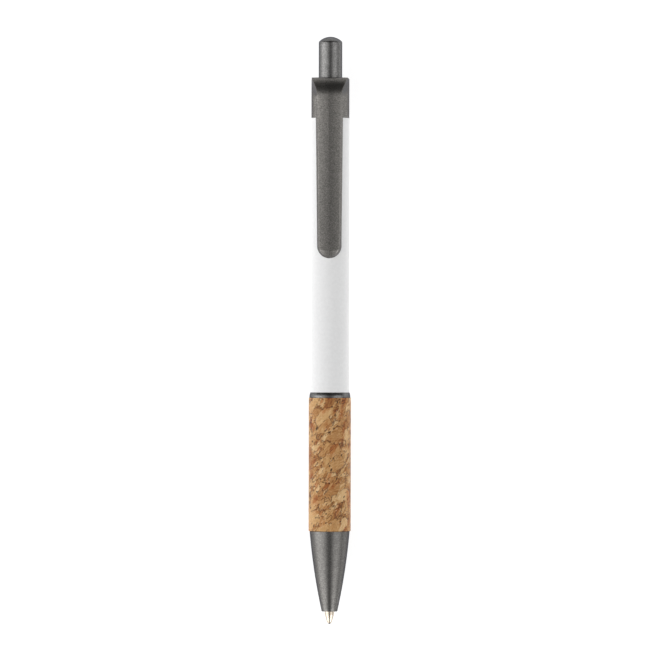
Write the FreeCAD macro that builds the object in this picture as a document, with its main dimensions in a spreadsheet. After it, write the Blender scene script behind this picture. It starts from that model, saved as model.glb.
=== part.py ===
"""A retractable ballpoint pen with a cork grip, one solid for each physical piece.

Every piece is drawn upright about one shared axis: z is the distance from the writing ball's end
along the pen, and the pocket clip is on the +y side. One placement then lays the whole pen down:
its axis runs along Y with the button at +Y, the clip faces +Z, the cork's lowest line is at Z = 0,
and the origin is under the middle of the pen's length. The point is out, ready to write.
"""
import math
import os

import FreeCAD
import Part
import Sketcher

Vector = FreeCAD.Vector

# The driving dimensions, in millimetres unless the name says otherwise. Stations are distances
# from the writing ball's end, and radii are measured from the pen's axis.
DRIVING_SIZES = {
    # lengths of the visible pieces, in order from the point to the button
    "cone_start": 3.05,
    "cone_length": 19.29,
    "cork_length": 31.92,
    "ring_length": 1.28,
    "barrel_length": 65.96,
    "cap_length": 9.56,
    "button_reach": 9.74,
    # outside radii of the visible pieces
    "cone_end_radius": 1.875,
    "cone_base_radius": 4.81,
    "cone_curve_radius": 148.0,
    "cork_radius": 5.075,
    "ring_base_radius": 4.92,
    "ring_top_radius": 4.68,
    "barrel_radius": 4.63,
    "cap_radius": 4.55,
    "button_radius": 2.82,
    "button_dome_height": 1.25,
    "ring_flange_length": 0.38,
    # small edges
    "soft_edge": 0.2,
    "fine_edge": 0.12,
    "cap_edge": 0.35,
    "barrel_edge": 0.06,
    "core_edge": 0.3,
    "tube_edge": 0.15,
    # how far a cutting outline reaches past what it cuts
    "cut_margin": 1.0,
    # clearances: none between glued pieces, a little where a piece turns or slides
    "seat_clearance": 0.03,
    "face_clearance": 0.05,
    "running_clearance": 0.08,
    "ball_clearance": 0.015,
    # barrel, cork and the tubes inside them
    "barrel_bore_radius": 4.2,
    "core_radius": 4.0,
    "core_bore_radius": 2.7,
    "core_spigot_length": 7.5,
    "thread_bore_radius": 3.35,
    "thread_bore_length": 8.2,
    # nose cone's spigot with its thread
    "spigot_radius": 3.05,
    "spigot_length": 7.4,
    "thread_start": 1.2,
    "thread_height": 0.22,
    "thread_pitch": 1.5,
    "thread_width": 0.7,
    "spring_seat": 8.0,
    "spring_chamber_radius": 2.3,
    "tube_chamber_start": 13.0,
    "tube_chamber_radius": 2.5,
    "chamber_taper_length": 0.5,
    # refill
    "ball_radius": 0.35,
    "tip_radius": 1.15,
    "tip_cone_end": 2.44,
    "tip_mouth_station": 0.25,
    "tip_mouth_radius": 0.4,
    "tip_lip_station": 0.58,
    "tip_lip_radius": 0.6,
    "ink_channel_radius": 0.22,
    "tube_start": 10.2,
    "tube_end": 107.0,
    "tube_radius": 1.5,
    "tube_bore_radius": 0.95,
    "holder_length": 4.0,
    "tip_shank_radius": 0.6,
    "ink_end": 95.0,
    "ear_station": 27.0,
    "ear_length": 1.5,
    "ear_reach": 2.3,
    "ear_width": 0.8,
    # return spring
    "spring_wire_radius": 0.2,
    "spring_mean_radius": 1.9,
    "spring_turns": 11,
    # cam mechanism
    "sleeve_radius": 4.17,
    "sleeve_start": 107.5,
    "sleeve_end": 129.7,
    "groove_radius": 3.45,
    "rib_radius": 2.7,
    "rib_half_width": 0.5,
    "rib_start": 115.0,
    "rib_end": 125.5,
    "ramp_slope": 1.976,
    "ramp_clearance": 0.3,
    "lug_radius": 3.3,
    "lug_half_width": 0.42,
    "lug_start": 111.5,
    "lug_root_depth": 0.5,
    "rotor_radius": 2.35,
    "rotor_start": 103.5,
    "rotor_end": 116.6,
    "crown_depth": 0.6,
    "thrust_radius": 2.5,
    "thrust_start": 116.7,
    "thrust_shoulder": 127.4,
    "thrust_end": 137.5,
    "thrust_spigot_radius": 2.29,
    "thrust_bore_radius": 1.3,
    "guide_start": 119.0,
    "guide_end": 124.0,
    "guide_half_width": 0.9,
    # button
    "button_start": 127.5,
    "button_bore_radius": 2.32,
    "button_bore_end": 138.4,
    # cap's top wall and shoulder, and the clip
    "cap_wall": 1.2,
    "shoulder_foot": 5.1,
    "shoulder_underside_rise": 2.7,
    "shoulder_half_width": 4.35,
    "flare_radius": 5.2,
    "flare_rise": 0.6,
    "clip_root_station": 126.6,
    "clip_root_height": 7.5,
    "clip_tip_height": 6.75,
    "clip_thickness": 1.25,
    "clip_root_half_width": 3.3,
    "clip_tip_half_width": 2.875,
    "clip_end_station": 87.8,
    "clip_bevel_length": 1.6,
    "clip_bevel_height": 1.15,
    "clip_bump_height": 4.8,
    "clip_bump_start": 1.2,
    "clip_bump_length": 4.6,
    "clip_bump_rise_length": 1.6,
    "clip_bump_radius": 3.2,
    "clip_lead_in": 0.3,
    "clip_underside_ramp": 1.0,
}

THREAD_RIDGES = 4
CROWN_TEETH = 8
RATCHET_RIBS = 4
TUBE_EARS = 2


class Size:
    """A number together with the spreadsheet expression that gives it."""

    def __init__(self, value, text=None):
        self.value = float(value)
        self.text = repr(self.value) if text is None else text

    def _combine(self, other, sign, value):
        other_text = other.text if isinstance(other, Size) else repr(float(other))
        return Size(value, f"({self.text} {sign} {other_text})")

    def __float__(self):
        return self.value

    def __add__(self, other):
        return self._combine(other, "+", self.value + float(other))

    def __sub__(self, other):
        return self._combine(other, "-", self.value - float(other))

    def __mul__(self, other):
        return self._combine(other, "*", self.value * float(other))

    def __truediv__(self, other):
        return self._combine(other, "/", self.value / float(other))

    def __neg__(self):
        return Size(-self.value, f"(0 - {self.text})")


def size(name):
    """A driving dimension, tied to its cell in the sheet."""
    return Size(DRIVING_SIZES[name], "Sizes." + name)


ZERO = Size(0)

# Stations that follow from the lengths.
GRIP_START = size("cone_start") + size("cone_length")
RING_START = GRIP_START + size("cork_length")
BARREL_START = RING_START + size("ring_length")
CAP_START = BARREL_START + size("barrel_length")
CAP_END = CAP_START + size("cap_length")
PEN_LENGTH = CAP_END + size("button_reach")


def make_sheet(doc):
    """The spreadsheet of driving dimensions, one aliased cell for each."""
    sheet = doc.addObject("Spreadsheet::Sheet", "Sizes")
    for row, (name, number) in enumerate(DRIVING_SIZES.items(), start=1):
        sheet.set(f"A{row}", name)
        sheet.set(f"B{row}", str(number))
        sheet.setAlias(f"B{row}", name)
    doc.recompute()
    return sheet


# ---------------------------------------------------------------- sketching helpers

def origin_feature(body, role):
    """One of the body's own origin planes or axes."""
    return [item for item in body.Origin.OriginFeatures if item.Role == role][0]


def new_body(doc, label, quarter_turns=0.0):
    """A body that stands in the pen's place; quarter_turns turns it about the pen's axis."""
    body = doc.addObject("PartDesign::Body", label)
    body.Label = label
    lay_down = FreeCAD.Rotation(Vector(0, 1, 1), 180)
    about_axis = FreeCAD.Rotation(Vector(0, 0, 1), 90 * quarter_turns)
    middle = Vector(0, -float(PEN_LENGTH) / 2, float(size("cork_radius")))
    body.Placement = FreeCAD.Placement(middle, lay_down.multiply(about_axis))
    body.setExpression("Placement.Base.y", (-PEN_LENGTH / 2).text)
    body.setExpression("Placement.Base.z", size("cork_radius").text)
    return body


def new_sketch(body, name, role, offset=None):
    """A sketch on one of the body's own origin planes, moved along its normal by offset."""
    sketch = body.newObject("Sketcher::SketchObject", name)
    sketch.AttachmentSupport = [(origin_feature(body, role), "")]
    sketch.MapMode = "FlatFace"
    if offset is not None:
        sketch.AttachmentOffset = FreeCAD.Placement(Vector(0, 0, float(offset)), FreeCAD.Rotation())
        sketch.setExpression("AttachmentOffset.Base.z", offset.text)
    return sketch


def arc_through(start, end, radius, side):
    """The short arc of this radius from start to end, bulging to the left or right of the way."""
    chord = end - start
    middle = (start + end) / 2
    left = Vector(-chord.y, chord.x, 0) / chord.Length
    outward = left if side == "left" else -left
    depth = math.sqrt(max(radius ** 2 - (chord.Length / 2) ** 2, 0.0))
    return Part.Arc(start, middle + outward * (radius - depth), end)


def end_nearest(sketch, index, point):
    """Which end of a drawn line or arc, 1 or 2, lies at the point."""
    first, second = sketch.getPoint(index, 1), sketch.getPoint(index, 2)
    return 1 if (first - point).Length <= (second - point).Length else 2


def bind(sketch, constraint, name, text):
    """Add a named constraint whose value comes from the sheet."""
    sketch.renameConstraint(sketch.addConstraint(constraint), name)
    sketch.setExpression("Constraints." + name, text)


def draw_outline(sketch, corners):
    """A closed outline, each corner held by the sheet.

    A corner is (across, along). A corner (across, along, radius, side) starts an arc of that
    radius, which bulges to that side of the way to the next corner.
    """
    first = sketch.GeometryCount
    count = len(corners)
    points = [Vector(float(corner[0]), float(corner[1]), 0) for corner in corners]
    for number, corner in enumerate(corners):
        start, end = points[number], points[(number + 1) % count]
        if len(corner) == 2:
            sketch.addGeometry(Part.LineSegment(start, end), False)
        else:
            sketch.addGeometry(arc_through(start, end, float(corner[2]), corner[3]), False)
    for number, corner in enumerate(corners):
        index = first + number
        before = first + (number - 1) % count
        here = end_nearest(sketch, index, points[number])
        there = end_nearest(sketch, before, points[number])
        sketch.addConstraint(Sketcher.Constraint("Coincident", before, there, index, here))
        for axis, direction in ((0, "X"), (1, "Y")):
            distance = Sketcher.Constraint("Distance" + direction, -1, 1, index, here, float(corner[axis]))
            bind(sketch, distance, f"{direction.lower()}{index}", corner[axis].text)
        if len(corner) > 2:
            radius = Sketcher.Constraint("Radius", index, float(corner[2]))
            bind(sketch, radius, f"radius{index}", corner[2].text)


def draw_circle(sketch, across, along, radius):
    """A circle held by the sheet."""
    index = sketch.addGeometry(Part.Circle(Vector(float(across), float(along), 0), Vector(0, 0, 1),
                                           float(radius)), False)
    bind(sketch, Sketcher.Constraint("DistanceX", -1, 1, index, 3, float(across)), f"x{index}", across.text)
    bind(sketch, Sketcher.Constraint("DistanceY", -1, 1, index, 3, float(along)), f"y{index}", along.text)
    bind(sketch, Sketcher.Constraint("Radius", index, float(radius)), f"radius{index}", radius.text)


def turn_outline(body, name, corners, kind="PartDesign::Revolution"):
    """Turn an outline of (radius, station) corners about the pen's axis, to add or to cut."""
    sketch = new_sketch(body, name + "_outline", "XZ_Plane")
    draw_outline(sketch, corners)
    feature = body.newObject(kind, name)
    feature.Profile = sketch
    feature.ReferenceAxis = (sketch, ["V_Axis"])
    feature.Angle = 360
    return feature


def pad(body, name, sketch, length, symmetric=False):
    """Add the sketch's outline, drawn out to this length."""
    feature = body.newObject("PartDesign::Pad", name)
    feature.Profile = sketch
    feature.SideType = "Symmetric" if symmetric else "One side"
    feature.setExpression("Length", length.text)
    return feature


def cut_through(body, name, sketch):
    """Cut the sketch out of the body, all the way through on both sides of its plane."""
    feature = body.newObject("PartDesign::Pocket", name)
    feature.Profile = sketch
    feature.Type = "ThroughAll"
    feature.SideType = "Symmetric"
    return feature


def repeat_round(body, name, feature, count, extent=360.0):
    """Repeat a feature round the pen's axis."""
    pattern = body.newObject("PartDesign::PolarPattern", name)
    pattern.Originals = [feature]
    pattern.Axis = (origin_feature(body, "Z_Axis"), [""])
    pattern.Angle = extent
    pattern.Occurrences = count
    body.Tip = pattern
    return pattern


# ---------------------------------------------------------------- casing

def make_nose_cone(doc):
    """Slightly bulging cone with a guide bore for the tip, a spring seat and a threaded spigot."""
    body = new_body(doc, "nose_cone")
    bore = size("tip_radius") + size("running_clearance")
    base = GRIP_START - size("face_clearance")
    spigot_end = GRIP_START + size("spigot_length")
    edge = size("fine_edge")
    corners = [
        (bore, size("cone_start")),
        (size("cone_end_radius") - edge, size("cone_start")),
        (size("cone_end_radius"), size("cone_start") + edge, size("cone_curve_radius"), "right"),
        (size("cone_base_radius"), base - edge),
        (size("cone_base_radius") - edge, base),
        (size("spigot_radius"), base),
    ]
    ridge_radius = size("spigot_radius") + size("thread_height")
    for turn in range(THREAD_RIDGES):
        foot = GRIP_START + size("thread_start") + size("thread_pitch") * turn
        corners.append((size("spigot_radius"), foot))
        corners.append((ridge_radius, foot + size("thread_width") / 3))
        corners.append((ridge_radius, foot + size("thread_width") * 2 / 3))
        corners.append((size("spigot_radius"), foot + size("thread_width")))
    corners += [
        (size("spigot_radius"), spigot_end),
        (size("tube_chamber_radius"), spigot_end),
        (size("tube_chamber_radius"), size("tube_chamber_start")),
        (size("spring_chamber_radius"), size("tube_chamber_start") - size("chamber_taper_length")),
        (size("spring_chamber_radius"), size("spring_seat")),
        (bore, size("spring_seat")),
    ]
    turn_outline(body, "nose_cone_turned", corners)
    return body


def make_cork_sleeve(doc):
    """Plain cork tube with softened ends, glued over the grip core."""
    body = new_body(doc, "cork_sleeve")
    bore = size("core_radius") + size("seat_clearance")
    outer, edge = size("cork_radius"), size("soft_edge")
    turn_outline(body, "cork_sleeve_turned", [
        (bore, GRIP_START),
        (outer - edge, GRIP_START, edge, "right"),
        (outer, GRIP_START + edge),
        (outer, RING_START - edge, edge, "right"),
        (outer - edge, RING_START),
        (bore, RING_START),
    ])
    return body


def make_grip_core(doc):
    """Tube under the cork: female thread below, and a spigot for the barrel above."""
    body = new_body(doc, "grip_core")
    spigot_end = BARREL_START + size("core_spigot_length")
    spigot = size("barrel_bore_radius") - size("seat_clearance")
    thread_end = GRIP_START + size("thread_bore_length")
    edge = size("core_edge")
    turn_outline(body, "grip_core_turned", [
        (size("thread_bore_radius"), GRIP_START),
        (size("core_radius"), GRIP_START),
        (size("core_radius"), BARREL_START),
        (spigot, BARREL_START),
        (spigot, spigot_end - edge),
        (spigot - edge, spigot_end),
        (size("core_bore_radius"), spigot_end),
        (size("core_bore_radius"), thread_end + edge * 2),
        (size("thread_bore_radius"), thread_end),
    ])
    return body


def make_trim_ring(doc):
    """Bevelled ring that steps down from the cork to the barrel."""
    body = new_body(doc, "trim_ring")
    bore = size("core_radius") + size("seat_clearance")
    edge = size("fine_edge")
    turn_outline(body, "trim_ring_turned", [
        (bore, RING_START),
        (size("ring_base_radius"), RING_START),
        (size("ring_base_radius"), RING_START + size("ring_flange_length")),
        (size("ring_top_radius"), BARREL_START - edge),
        (size("ring_top_radius") - edge, BARREL_START),
        (bore, BARREL_START),
    ])
    return body


def make_barrel_tube(doc):
    """Upper barrel, a plain tube with its outer edges just broken."""
    body = new_body(doc, "barrel_tube")
    outer, bore = size("barrel_radius"), size("barrel_bore_radius")
    edge = size("barrel_edge")
    turn_outline(body, "barrel_tube_turned", [
        (bore, BARREL_START),
        (outer - edge, BARREL_START),
        (outer, BARREL_START + edge),
        (outer, CAP_START - edge),
        (outer - edge, CAP_START),
        (bore, CAP_START),
    ])
    return body


def make_cap_shell(doc):
    """Cap with a button hole, and the shoulder that flows into the clip."""
    body = new_body(doc, "cap_shell")
    root, root_height = size("clip_root_station"), size("clip_root_height")

    # The shoulder from the side: a convex curve from the cap's top, tangent to the clip's outer
    # face at the root.
    reach = root_height - size("shoulder_foot")
    rise = CAP_END - root
    curve_radius = (reach * reach + rise * rise) / (reach * 2)
    side = new_sketch(body, "shoulder_side", "YZ_Plane")
    draw_outline(side, [
        (ZERO, root + size("shoulder_underside_rise")),
        (root_height - size("clip_thickness"), root),
        (root_height, root, curve_radius, "right"),
        (size("shoulder_foot"), CAP_END),
        (ZERO, CAP_END),
    ])
    pad(body, "shoulder", side, size("cap_radius") * 2, symmetric=True)

    # From the front it narrows to the clip's width in two hollow curves.
    for name, hand, bulge in (("right", 1, "right"), ("left", -1, "left")):
        top, waist = size("shoulder_half_width") * hand, size("clip_root_half_width") * hand
        outside = (size("cap_radius") + size("cut_margin")) * hand
        flare = new_sketch(body, f"flare_{name}", "XZ_Plane")
        draw_outline(flare, [
            (waist, root + size("flare_rise"), size("flare_radius"), bulge),
            (top, CAP_END),
            (outside, CAP_END),
            (outside, root - size("flare_rise")),
            (waist, root - size("flare_rise")),
        ])
        cut_through(body, f"flare_cut_{name}", flare)

    edge = size("cap_edge")
    turn_outline(body, "cap_blank", [
        (ZERO, CAP_START),
        (size("cap_radius"), CAP_START),
        (size("cap_radius"), CAP_END - edge, edge, "right"),
        (size("cap_radius") - edge, CAP_END),
        (ZERO, CAP_END),
    ])
    hole = size("button_radius") + size("running_clearance")
    under_top = CAP_END - size("cap_wall")
    below, above = CAP_START - size("cut_margin"), CAP_END + size("cut_margin")
    turn_outline(body, "cap_bore", [
        (ZERO, below),
        (size("barrel_bore_radius"), below),
        (size("barrel_bore_radius"), under_top),
        (hole, under_top),
        (hole, above),
        (ZERO, above),
    ], "PartDesign::Groove")

    # The socket that the clip's knuckle turns in.
    socket = new_sketch(body, "clip_socket", "YZ_Plane")
    draw_circle(socket, root_height - size("clip_thickness") / 2, root,
                size("clip_thickness") / 2 + size("face_clearance"))
    cut_through(body, "clip_socket_cut", socket)
    return body


def make_clip(doc):
    """Clip arm: rounded knuckle at the root, tapering to a half-round, bevelled end with a bump."""
    body = new_body(doc, "clip")
    root, end = size("clip_root_station"), size("clip_end_station")
    thickness = size("clip_thickness")
    root_height, tip_height = size("clip_root_height"), size("clip_tip_height")
    under_tip = tip_height - thickness
    bump_end = end + size("clip_bump_length")
    bump_height = size("clip_bump_height")
    side = new_sketch(body, "clip_side", "YZ_Plane")
    draw_outline(side, [
        (root_height, root, thickness / 2, "right"),
        (root_height - thickness / 2, root + thickness / 2, thickness / 2, "right"),
        (root_height - thickness, root),
        (under_tip, bump_end + size("clip_underside_ramp")),
        (under_tip, bump_end),
        (bump_height, bump_end - size("clip_bump_rise_length"), size("clip_bump_radius"), "right"),
        (bump_height, end + size("clip_bump_start")),
        (bump_height + size("clip_lead_in"), end),
        (tip_height - size("clip_bevel_height"), end),
        (tip_height, end + size("clip_bevel_length")),
    ])
    pad(body, "clip_blank", side, size("clip_root_half_width") * 2, symmetric=True)

    # From the front the arm tapers to a half-round end; all outside this outline is cut away.
    waist, tip = size("clip_root_half_width"), size("clip_tip_half_width")
    margin = size("cut_margin")
    front = new_sketch(body, "clip_front", "XZ_Plane")
    draw_outline(front, [
        (-waist * 2, end - margin),
        (waist * 2, end - margin),
        (waist * 2, root + margin * 2),
        (-waist * 2, root + margin * 2),
    ])
    draw_outline(front, [
        (-waist, root + margin),
        (-tip, end + tip, tip, "right"),
        (ZERO, end, tip, "right"),
        (tip, end + tip),
        (waist, root + margin),
    ])
    cut_through(body, "clip_taper", front)
    return body


# ---------------------------------------------------------------- refill and spring

def make_tip_ball(doc):
    """The writing ball."""
    body = new_body(doc, "tip_ball")
    radius = size("ball_radius")
    turn_outline(body, "tip_ball_turned", [
        (ZERO, ZERO, radius, "right"),
        (radius, radius, radius, "right"),
        (ZERO, radius * 2),
    ])
    return body


def make_writing_tip(doc):
    """Metal tip: a socket that holds the ball, a cone, a plain cylinder and a shank."""
    body = new_body(doc, "writing_tip")
    socket_radius = size("ball_radius") + size("ball_clearance")
    centre = size("ball_radius")
    mouth = size("tip_mouth_station")
    mouth_bore = math.sqrt(float(socket_radius) ** 2 - (float(centre) - float(mouth)) ** 2)
    channel = size("ink_channel_radius")
    channel_start = float(centre) + math.sqrt(float(socket_radius) ** 2 - float(channel) ** 2)
    shank_end = size("tube_start") + size("holder_length")
    turn_outline(body, "writing_tip_turned", [
        (Size(mouth_bore), mouth),
        (size("tip_mouth_radius"), mouth),
        (size("tip_lip_radius"), size("tip_lip_station")),
        (size("tip_radius"), size("tip_cone_end")),
        (size("tip_radius"), size("tube_start")),
        (size("tip_shank_radius"), size("tube_start")),
        (size("tip_shank_radius"), shank_end),
        (channel, shank_end),
        (channel, Size(channel_start), socket_radius, "left"),
        (socket_radius, centre, socket_radius, "left"),
    ])
    return body


def make_tip_holder(doc):
    """Bush that holds the tip's shank in the ink tube."""
    body = new_body(doc, "tip_holder")
    outer = size("tube_bore_radius")
    turn_outline(body, "tip_holder_turned", [
        (size("tip_shank_radius"), size("tube_start")),
        (outer, size("tube_start")),
        (outer, size("tube_start") + size("holder_length")),
        (size("tip_shank_radius"), size("tube_start") + size("holder_length")),
    ])
    return body


def make_refill_tube(doc):
    """Ink tube with two ears, on which the return spring pushes."""
    body = new_body(doc, "refill_tube")
    inner, outer = size("tube_bore_radius"), size("tube_radius")
    edge = size("tube_edge")
    turn_outline(body, "refill_tube_turned", [
        (inner, size("tube_start")),
        (outer - edge, size("tube_start")),
        (outer, size("tube_start") + edge * 2),
        (outer, size("tube_end")),
        (inner, size("tube_end")),
    ])
    ear_root = inner + (outer - inner) / 2
    ear = new_sketch(body, "ear_side", "XZ_Plane")
    draw_outline(ear, [
        (ear_root, size("ear_station")),
        (size("ear_reach"), size("ear_station")),
        (size("ear_reach"), size("ear_station") + size("ear_length") / 2),
        (ear_root, size("ear_station") + size("ear_length")),
    ])
    feature = pad(body, "ear", ear, size("ear_width"), symmetric=True)
    repeat_round(body, "ears", feature, TUBE_EARS)
    return body


def make_ink_column(doc):
    """The ink in the tube."""
    body = new_body(doc, "ink_column")
    radius = size("tube_bore_radius")
    ink_start = size("tube_start") + size("holder_length")
    turn_outline(body, "ink_column_turned", [
        (ZERO, ink_start),
        (radius, ink_start),
        (radius, size("ink_end")),
        (ZERO, size("ink_end")),
    ])
    return body


def make_return_spring(doc):
    """Compression spring between the nose cone's seat and the refill's ears."""
    body = new_body(doc, "return_spring")
    wire, mean = size("spring_wire_radius"), size("spring_mean_radius")
    section = new_sketch(body, "wire_section", "XZ_Plane")
    first_station = size("spring_seat") + wire + size("face_clearance")
    last_station = size("ear_station") - wire - size("face_clearance")
    draw_circle(section, mean, first_station, wire)
    coil = body.newObject("PartDesign::AdditiveHelix", "coil")
    coil.Profile = section
    coil.ReferenceAxis = (section, ["V_Axis"])
    coil.Mode = "height-turns-angle"
    coil.setExpression("Height", (last_station - first_station).text)
    coil.setExpression("Turns", size("spring_turns").text)
    return body


# ---------------------------------------------------------------- cam mechanism

def ramped_side(body, name, inner, half_width, flat_end, ramp_middle):
    """A rib's or lug's side on a plane square to +x: one end flat, the other a sloping ramp."""
    rise = half_width * size("ramp_slope")
    sketch = new_sketch(body, name, "YZ_Plane", inner)
    draw_outline(sketch, [
        (-half_width, flat_end),
        (half_width, flat_end),
        (half_width, ramp_middle + rise),
        (-half_width, ramp_middle - rise),
    ])
    return sketch


def cut_crown(body, name, peak, root):
    """V notches across the end of a turned piece, which leave a crown of teeth.

    Each notch runs right across the end, so it makes two of the gaps between the teeth.
    """
    half_width = size("rotor_radius") * math.tan(math.pi / CROWN_TEETH)
    notch = new_sketch(body, name + "_notch", "XZ_Plane")
    draw_outline(notch, [
        (-half_width, peak),
        (ZERO, root),
        (half_width, peak),
    ])
    cut = cut_through(body, name + "_cut", notch)
    notches = CROWN_TEETH // 2
    return repeat_round(body, name, cut, notches, 180.0 - 180.0 / notches)


def make_cam_sleeve(doc):
    """Sleeve that joins cap and barrel: four ribs, with ramps at their lower ends, and four grooves."""
    body = new_body(doc, "cam_sleeve")
    outer, groove = size("sleeve_radius"), size("groove_radius")
    turn_outline(body, "cam_sleeve_turned", [
        (groove, size("sleeve_start")),
        (outer, size("sleeve_start")),
        (outer, size("sleeve_end")),
        (groove, size("sleeve_end")),
    ])
    side = ramped_side(body, "rib_side", size("rib_radius"), size("rib_half_width"),
                       size("rib_end"), size("rib_start"))
    depth = groove - size("rib_radius") + (outer - groove) / 2
    rib = pad(body, "rib", side, depth)
    repeat_round(body, "ribs", rib, RATCHET_RIBS)
    return body


def make_rotor(doc):
    """Ratchet rotor: a socket for the refill's end, a crown of teeth, and four ramped lugs."""
    body = new_body(doc, "rotor")
    outer = size("rotor_radius")
    socket = size("tube_radius") + size("running_clearance")
    turn_outline(body, "rotor_turned", [
        (socket, size("rotor_start")),
        (outer, size("rotor_start")),
        (outer, size("rotor_end")),
        (ZERO, size("rotor_end")),
        (ZERO, size("tube_end") + size("face_clearance")),
        (socket, size("tube_end") + size("face_clearance")),
    ])
    lug_foot = outer - size("lug_root_depth")
    side = ramped_side(body, "lug_side", lug_foot, size("lug_half_width"),
                       size("lug_start"), size("rib_start") - size("ramp_clearance"))
    lug = pad(body, "lug", side, size("lug_radius") - lug_foot)
    repeat_round(body, "lugs", lug, RATCHET_RIBS)
    cut_crown(body, "rotor_crown", size("rotor_end"), size("rotor_end") - size("crown_depth"))
    return body


def make_thrust_tube(doc):
    """Plunger that the button pushes: crown teeth below, four guide lugs in the sleeve's grooves."""
    body = new_body(doc, "thrust_tube", quarter_turns=0.5)
    outer, spigot, bore = size("thrust_radius"), size("thrust_spigot_radius"), size("thrust_bore_radius")
    turn_outline(body, "thrust_tube_turned", [
        (bore, size("thrust_start")),
        (outer, size("thrust_start")),
        (outer, size("thrust_shoulder")),
        (spigot, size("thrust_shoulder")),
        (spigot, size("thrust_end")),
        (bore, size("thrust_end")),
    ])
    foot = outer - size("lug_root_depth")
    guide = new_sketch(body, "guide_side", "YZ_Plane", foot)
    draw_outline(guide, [
        (-size("guide_half_width"), size("guide_start")),
        (size("guide_half_width"), size("guide_start")),
        (size("guide_half_width"), size("guide_end")),
        (-size("guide_half_width"), size("guide_end")),
    ])
    lug = pad(body, "guide", guide, size("lug_radius") - foot)
    repeat_round(body, "guides", lug, RATCHET_RIBS)
    cut_crown(body, "thrust_crown", size("thrust_start"), size("thrust_start") + size("crown_depth"))
    return body


def make_push_button(doc):
    """Thin button with a domed end, pressed over the thrust tube."""
    body = new_body(doc, "push_button")
    outer, bore = size("button_radius"), size("button_bore_radius")
    rise = size("button_dome_height")
    dome_start = PEN_LENGTH - rise
    dome_radius = (outer * outer + rise * rise) / (rise * 2)
    turn_outline(body, "push_button_turned", [
        (bore, size("button_start")),
        (outer, size("button_start")),
        (outer, dome_start, dome_radius, "right"),
        (ZERO, PEN_LENGTH),
        (ZERO, size("button_bore_end")),
        (bore, size("button_bore_end")),
    ])
    return body


# ---------------------------------------------------------------- main

def build():
    """Make every piece and write one STEP file for each."""
    doc = FreeCAD.newDocument("BallpointPen")
    make_sheet(doc)
    pieces = [
        make_nose_cone(doc),
        make_cork_sleeve(doc),
        make_grip_core(doc),
        make_trim_ring(doc),
        make_barrel_tube(doc),
        make_cap_shell(doc),
        make_clip(doc),
        make_tip_ball(doc),
        make_writing_tip(doc),
        make_tip_holder(doc),
        make_refill_tube(doc),
        make_ink_column(doc),
        make_return_spring(doc),
        make_cam_sleeve(doc),
        make_rotor(doc),
        make_thrust_tube(doc),
        make_push_button(doc),
    ]
    doc.recompute()
    for item in doc.Objects:
        if "Invalid" in item.State or "Error" in item.State:
            raise RuntimeError(f"{item.Name} did not compute: {item.State}")
    os.makedirs("parts", exist_ok=True)
    for piece in pieces:
        shape = piece.Shape
        if shape.isNull() or not shape.isValid():
            raise RuntimeError(f"{piece.Label} has no valid shape")
        print(piece.Label, "volume", round(shape.Volume, 2), "solids", len(shape.Solids))
        shape.exportStep(f"parts/{piece.Label}.step")


build()
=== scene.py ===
"""A retractable ballpoint pen with a cork grip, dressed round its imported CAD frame.

The pen lies along Y, with its button at +Y and its clip facing up. Lengths here are in millimetres, and
places along the pen are measured from the writing ball's end. Both are worked out from the frame's boxes
where a CAD node has them.
"""

import math
import random

import bmesh
import bpy
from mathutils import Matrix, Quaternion, Vector, noise


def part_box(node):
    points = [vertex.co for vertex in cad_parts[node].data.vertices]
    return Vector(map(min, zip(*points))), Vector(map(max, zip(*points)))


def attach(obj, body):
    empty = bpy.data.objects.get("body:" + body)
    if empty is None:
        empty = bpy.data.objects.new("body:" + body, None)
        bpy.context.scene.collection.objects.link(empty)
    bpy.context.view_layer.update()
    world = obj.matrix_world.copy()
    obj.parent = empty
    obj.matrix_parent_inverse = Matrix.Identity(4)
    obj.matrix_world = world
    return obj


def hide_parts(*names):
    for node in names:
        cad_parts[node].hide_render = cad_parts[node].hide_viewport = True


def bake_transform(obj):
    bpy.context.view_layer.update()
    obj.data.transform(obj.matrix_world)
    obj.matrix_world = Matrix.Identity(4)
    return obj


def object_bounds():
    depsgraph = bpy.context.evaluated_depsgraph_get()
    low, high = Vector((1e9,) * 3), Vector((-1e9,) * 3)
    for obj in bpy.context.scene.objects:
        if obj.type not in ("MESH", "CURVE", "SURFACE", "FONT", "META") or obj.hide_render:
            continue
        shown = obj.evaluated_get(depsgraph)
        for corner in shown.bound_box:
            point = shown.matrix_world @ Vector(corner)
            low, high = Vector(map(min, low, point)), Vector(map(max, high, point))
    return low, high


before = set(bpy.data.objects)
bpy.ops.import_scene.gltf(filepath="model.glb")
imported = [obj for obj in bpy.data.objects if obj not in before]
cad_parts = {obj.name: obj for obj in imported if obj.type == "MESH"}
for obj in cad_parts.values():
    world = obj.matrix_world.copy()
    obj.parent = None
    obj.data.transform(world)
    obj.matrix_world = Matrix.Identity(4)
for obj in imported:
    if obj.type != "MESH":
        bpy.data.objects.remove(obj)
cad_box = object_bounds()

MM = 0.001
PEN_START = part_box("tip_ball")[0].y
AXIS_HEIGHT = (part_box("cork_sleeve")[0].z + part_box("cork_sleeve")[1].z) / 2


def station(node, end):
    """How far a node's lower (0) or upper (1) end is from the writing ball's end, in millimetres."""
    return (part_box(node)[end].y - PEN_START) / MM


def radius_of(node):
    """A node's outside radius, in millimetres."""
    low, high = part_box(node)
    return (high.x - low.x) / 2 / MM


def place(across, along, height):
    """A point at this distance across the pen, along it from the ball's end, and above its axis."""
    return Vector((across * MM, PEN_START + along * MM, AXIS_HEIGHT + height * MM))


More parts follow.
